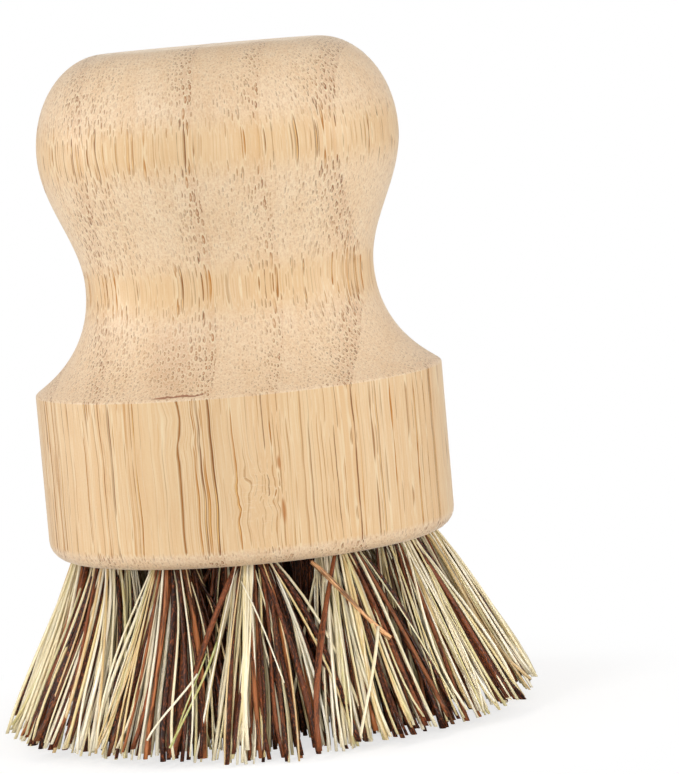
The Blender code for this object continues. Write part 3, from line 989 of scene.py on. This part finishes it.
def limb(placement, azimuth, tips, x, y, slot, rng):
    """The free part of a fibre from the hole's mouth to its cut tip, and the cut's height."""
    mouth = np.array(placement @ Vector((x, y, 0.0)))
    tip = cut_tip(azimuth, tips, x, y, rng)
    straight = tip - mouth
    length = np.linalg.norm(straight)
    away = np.array((tip[0] - mouth[0], tip[1] - mouth[1], 0.0))
    lean = away / max(np.linalg.norm(away), MM) * length
    across = np.array((-math.sin(azimuth), math.cos(azimuth), 0.0))
    spread = across * across.dot(straight) * EARLY_SPREAD
    bow = np.array((BOW, 0.0, 0.0))
    loose = LOOSENESS[slot]
    near_droop, far_droop = DROOP_SHARES
    near = mouth + straight / 3 - lean * near_droop + spread + bow + rng.normal(0.0, loose, 3)
    far = mouth + straight * 2 / 3 - lean * far_droop + spread
    far = far + rng.normal(0.0, loose * FAR_LOOSENESS, 3)
    return bezier((mouth, near, far, tip), FIBRE_STEPS), tip[2]


def folded_fibre(placement, azimuth, tips, root, rng):
    """One fibre from tip to tip: up one limb, over the staple's crown in the hole, and down."""
    x, y, radius, slot = root
    shift = rng.normal(0.0, FOLD_SHIFT, 2)
    other_x, other_y = -max(x + shift[0], WIRE_RADIUS + radius), y + shift[1]
    first, first_cut = limb(placement, azimuth, tips, x, y, slot, rng)
    second, second_cut = limb(placement, azimuth, tips, other_x, other_y, slot, rng)
    room = HOLE_DEPTH - CROWN_DEPTH - WIRE_RADIUS - 2 * radius
    rise = WIRE_RADIUS + radius + room * FOLD_ROOM_SHARE * abs(x) / PLUG_RADIUS
    shoulder = CROWN_DEPTH + rise * FOLD_SHOULDER
    middle_y = (y + other_y) / 2 * FOLD_NARROWING
    foot_out, shoulder_out = FOLD_OUT_SHARES
    inside = [
        (x, y, CROWN_DEPTH * FOLD_START),
        (x * foot_out, y * FOLD_NARROWING, CROWN_DEPTH),
        (x * shoulder_out, middle_y, shoulder),
        (0.0, middle_y, CROWN_DEPTH + rise),
        (other_x * shoulder_out, middle_y, shoulder),
        (other_x * foot_out, other_y * FOLD_NARROWING, CROWN_DEPTH),
        (other_x, other_y, CROWN_DEPTH * FOLD_START),
    ]
    fold = [np.array(placement @ Vector(point)) for point in inside]
    points = [*first[::-1], *fold, *second]
    bare = np.linspace(1.0, 0.0, len(first)) ** 0.5
    pressed = [*bare, *np.zeros(len(fold)), *bare[::-1]]
    thickness = PRESSED_SHARE + (1.0 - PRESSED_SHARE) * np.asarray(pressed)
    return points, thickness, (first_cut, second_cut)


def fibre_radii(radius, count, slot, rng):
    """The radius along a fibre: palm is knobbly, straw is nearly even."""
    uneven = UNEVENNESS[slot]
    wave = rng.uniform(0.0, 2 * math.pi)
    places = np.arange(count)
    swell = np.sin(places * SWELL_PACE + wave) * uneven + rng.normal(0.0, uneven * 0.5, count)
    return radius * (1.0 + swell)


def add_loose_fibres(tuft, ending, rng):
    """Loose fibres caught in a tuft, slightly bowed."""
    for caught_in, start, end, slot, radius, tint in LOOSE_FIBRES:
        if caught_in != ending:
            continue
        start, end = np.array(start) * MM, np.array(end) * MM
        bow = rng.normal(0.0, LOOSE_BOW, (2, 3))
        bow[:, 1] = -np.abs(bow[:, 1])
        near = start + (end - start) / 3 + bow[0]
        far = start + (end - start) * 2 / 3 + bow[1]
        points = bezier((start, near, far, end), FIBRE_STEPS)
        radii = fibre_radii(radius * MM, len(points), slot, rng)
        tuft.add(points, radii, LOOSE_SIDES, LOOSE_FLATNESS, slot, rng, chance=tint)


def build_tufts(places, straw, palm):
    """Every tuft as folded fibres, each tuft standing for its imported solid."""
    rng = np.random.default_rng(SEED)
    for ending, placement, azimuth, tips in places:
        tuft = FibreMesh()
        for root in packed_roots(ending, rng):
            _, _, radius, slot = root
            points, thickness, cuts = folded_fibre(placement, azimuth, tips, root, rng)
            radii = fibre_radii(radius, len(points), slot, rng) * thickness
            flatness = rng.uniform(0.0, MOST_FLATNESS)
            tuft.add(points, radii, SIDES[slot], flatness, slot, rng, cuts)
        add_loose_fibres(tuft, ending, rng)
        piece = tuft.build(f"fibres_{ending}", straw, palm)
        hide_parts(f"tuft_{ending}")
        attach(piece, "root")


def finish_staples(wire):
    """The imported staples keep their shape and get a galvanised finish."""
    for name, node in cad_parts.items():
        if name.startswith("staple_"):
            node.data.materials.clear()
            node.data.materials.append(wire)


# Studio: how strong the even light all round is, the floor's colour for light that bounces off
# it and as it is seen, and how far out and how strongly it shows the shadow
EVEN_LIGHT = 0.46
FLOOR_RADIUS = 3.0
FLOOR_SIDES = 96
FLOOR_COLOUR = (0.80, 0.80, 0.80, 1.0)
SEEN_FLOOR_COLOUR = (1.5, 1.5, 1.5, 1.0)
SHADED_RADII = (0.036, 0.060)
SHADOW_SHARE = 0.32
WHITE = (1.0, 1.0, 1.0, 1.0)

# Square lamps aimed at the waist: name, azimuth and elevation in degrees, side and power. And
# a thin one aimed at the fibres, whose distance, width and height, power and aim are its own
LAMP_DISTANCE = 0.60
LAMPS = (
    ("key_lamp", -45, 31, 0.14, 0.69),
    ("front_lamp", 38, 21, 0.12, 0.36),
    ("right_lamp", 80, 6, 0.14, 0.92),
    ("left_lamp", -98, 8, 0.14, 1.10),
    ("low_lamp", 2, 3, 0.10, 0.58),
)
STRIP_LAMP = ("fibre_lamp", -6, 1.0, 0.45, (0.16, 0.012), 0.0045, 8.0 * MM)
STRIP_SPREAD = math.radians(4.0)


def add_floor():
    """A pale floor that fades to plain white away from the brush and keeps its shadow."""
    bpy.ops.mesh.primitive_circle_add(
        vertices=FLOOR_SIDES,
        radius=FLOOR_RADIUS,
        fill_type="NGON",
    )
    floor = bpy.context.object
    floor.name = "studio_floor"
    material = bpy.data.materials.new("pale_floor")
    g = Nodes(material)
    x, y, _ = g.split(g.add("ShaderNodeTexCoord").outputs["Object"])
    away = g.math("SQRT", g.math("ADD", g.math("MULTIPLY", x, x), g.math("MULTIPLY", y, y)))
    seen = g.add("ShaderNodeLightPath").outputs["Is Camera Ray"]
    shaded = g.ramp(away, *SHADED_RADII, SHADOW_SHARE, 0.0)
    white_share = g.math("MULTIPLY", seen, g.math("SUBTRACT", 1.0, shaded))
    colour = g.mix(seen, FLOOR_COLOUR, SEEN_FLOOR_COLOUR)
    diffuse = g.add("ShaderNodeBsdfDiffuse", {0: colour})
    white = g.add("ShaderNodeEmission", {0: WHITE, 1: 1.0})
    shaders = {0: white_share, 1: diffuse.outputs[0], 2: white.outputs[0]}
    mixed = g.add("ShaderNodeMixShader", shaders)
    g.add("ShaderNodeOutputMaterial", {0: mixed.outputs[0]})
    floor.data.materials.append(material)


def add_world():
    """Even pale light all round, seen as plain white."""
    world = bpy.data.worlds.new("studio")
    bpy.context.scene.world = world
    g = Nodes(world)
    rays = g.add("ShaderNodeLightPath").outputs
    seen = g.math("MAXIMUM", rays["Is Camera Ray"], rays["Is Transmission Ray"])
    strength = g.blend(seen, EVEN_LIGHT, 1.0)
    background = g.add("ShaderNodeBackground", {0: WHITE, 1: strength})
    g.add("ShaderNodeOutputWorld", {0: background.outputs[0]})


def add_lamp(name, azimuth, elevation, distance, size, power, height=WAIST_HEIGHT):
    """A soft lamp aimed at a height on the axis. Azimuth 0 stands in front, and grows to the
    right. size is its width and height."""
    aim = Vector((0.0, 0.0, height))
    turn, rise = math.radians(azimuth), math.radians(elevation)
    level = math.cos(rise)
    back = Vector((math.sin(turn) * level, -math.cos(turn) * level, math.sin(rise)))
    data = bpy.data.lights.new(name, "AREA")
    data.shape = "RECTANGLE"
    data.size, data.size_y = size
    data.energy = power
    lamp = bpy.data.objects.new(name, data)
    lamp.location = aim + back * distance
    lamp.rotation_mode = "QUATERNION"
    lamp.rotation_quaternion = (-back).to_track_quat("-Z", "Y")
    bpy.context.scene.collection.objects.link(lamp)
    return data


def add_lamps():
    for name, azimuth, elevation, side, power in LAMPS:
        add_lamp(name, azimuth, elevation, LAMP_DISTANCE, (side, side), power)
    strip = add_lamp(*STRIP_LAMP)
    strip.spread = STRIP_SPREAD


# Camera: where it stands, and in pixels of the 679 by 774 picture its focal length and how
# far the picture's centre lies to the right of the brush's axis and below the horizon
CAMERA_DISTANCE = 500 * MM
CAMERA_HEIGHT = 85.4 * MM
CAMERA_ROLL = math.radians(5.0)
LONG_SIDE_PX = 774
FOCAL_PX = 4255
CENTRE_RIGHT_PX = 99.9
CENTRE_BELOW_PX = 398.7
SENSOR_WIDTH = 36.0


def add_camera():
    data = bpy.data.cameras.new("camera")
    data.sensor_width = SENSOR_WIDTH
    data.lens = FOCAL_PX * SENSOR_WIDTH / LONG_SIDE_PX
    camera = bpy.data.objects.new("camera", data)
    camera.location = (0.0, -CAMERA_DISTANCE, CAMERA_HEIGHT)
    ahead = Vector((CENTRE_RIGHT_PX, FOCAL_PX, -CENTRE_BELOW_PX))
    upright = ahead.to_track_quat("-Z", "Y").to_matrix()
    rolled = upright @ Matrix.Rotation(-CAMERA_ROLL, 3, "Z")
    camera.rotation_euler = rolled.to_euler()
    bpy.context.scene.collection.objects.link(camera)
    bpy.context.scene.camera = camera


def main():
    places = tuft_places()
    add_camera()
    build_handle(places, bamboo_material())
    straw, palm = fibre_materials()
    build_tufts(places, straw, palm)
    finish_staples(wire_material())
    add_floor()
    add_world()
    add_lamps()
    bpy.context.scene.view_settings.view_transform = "Standard"


main()
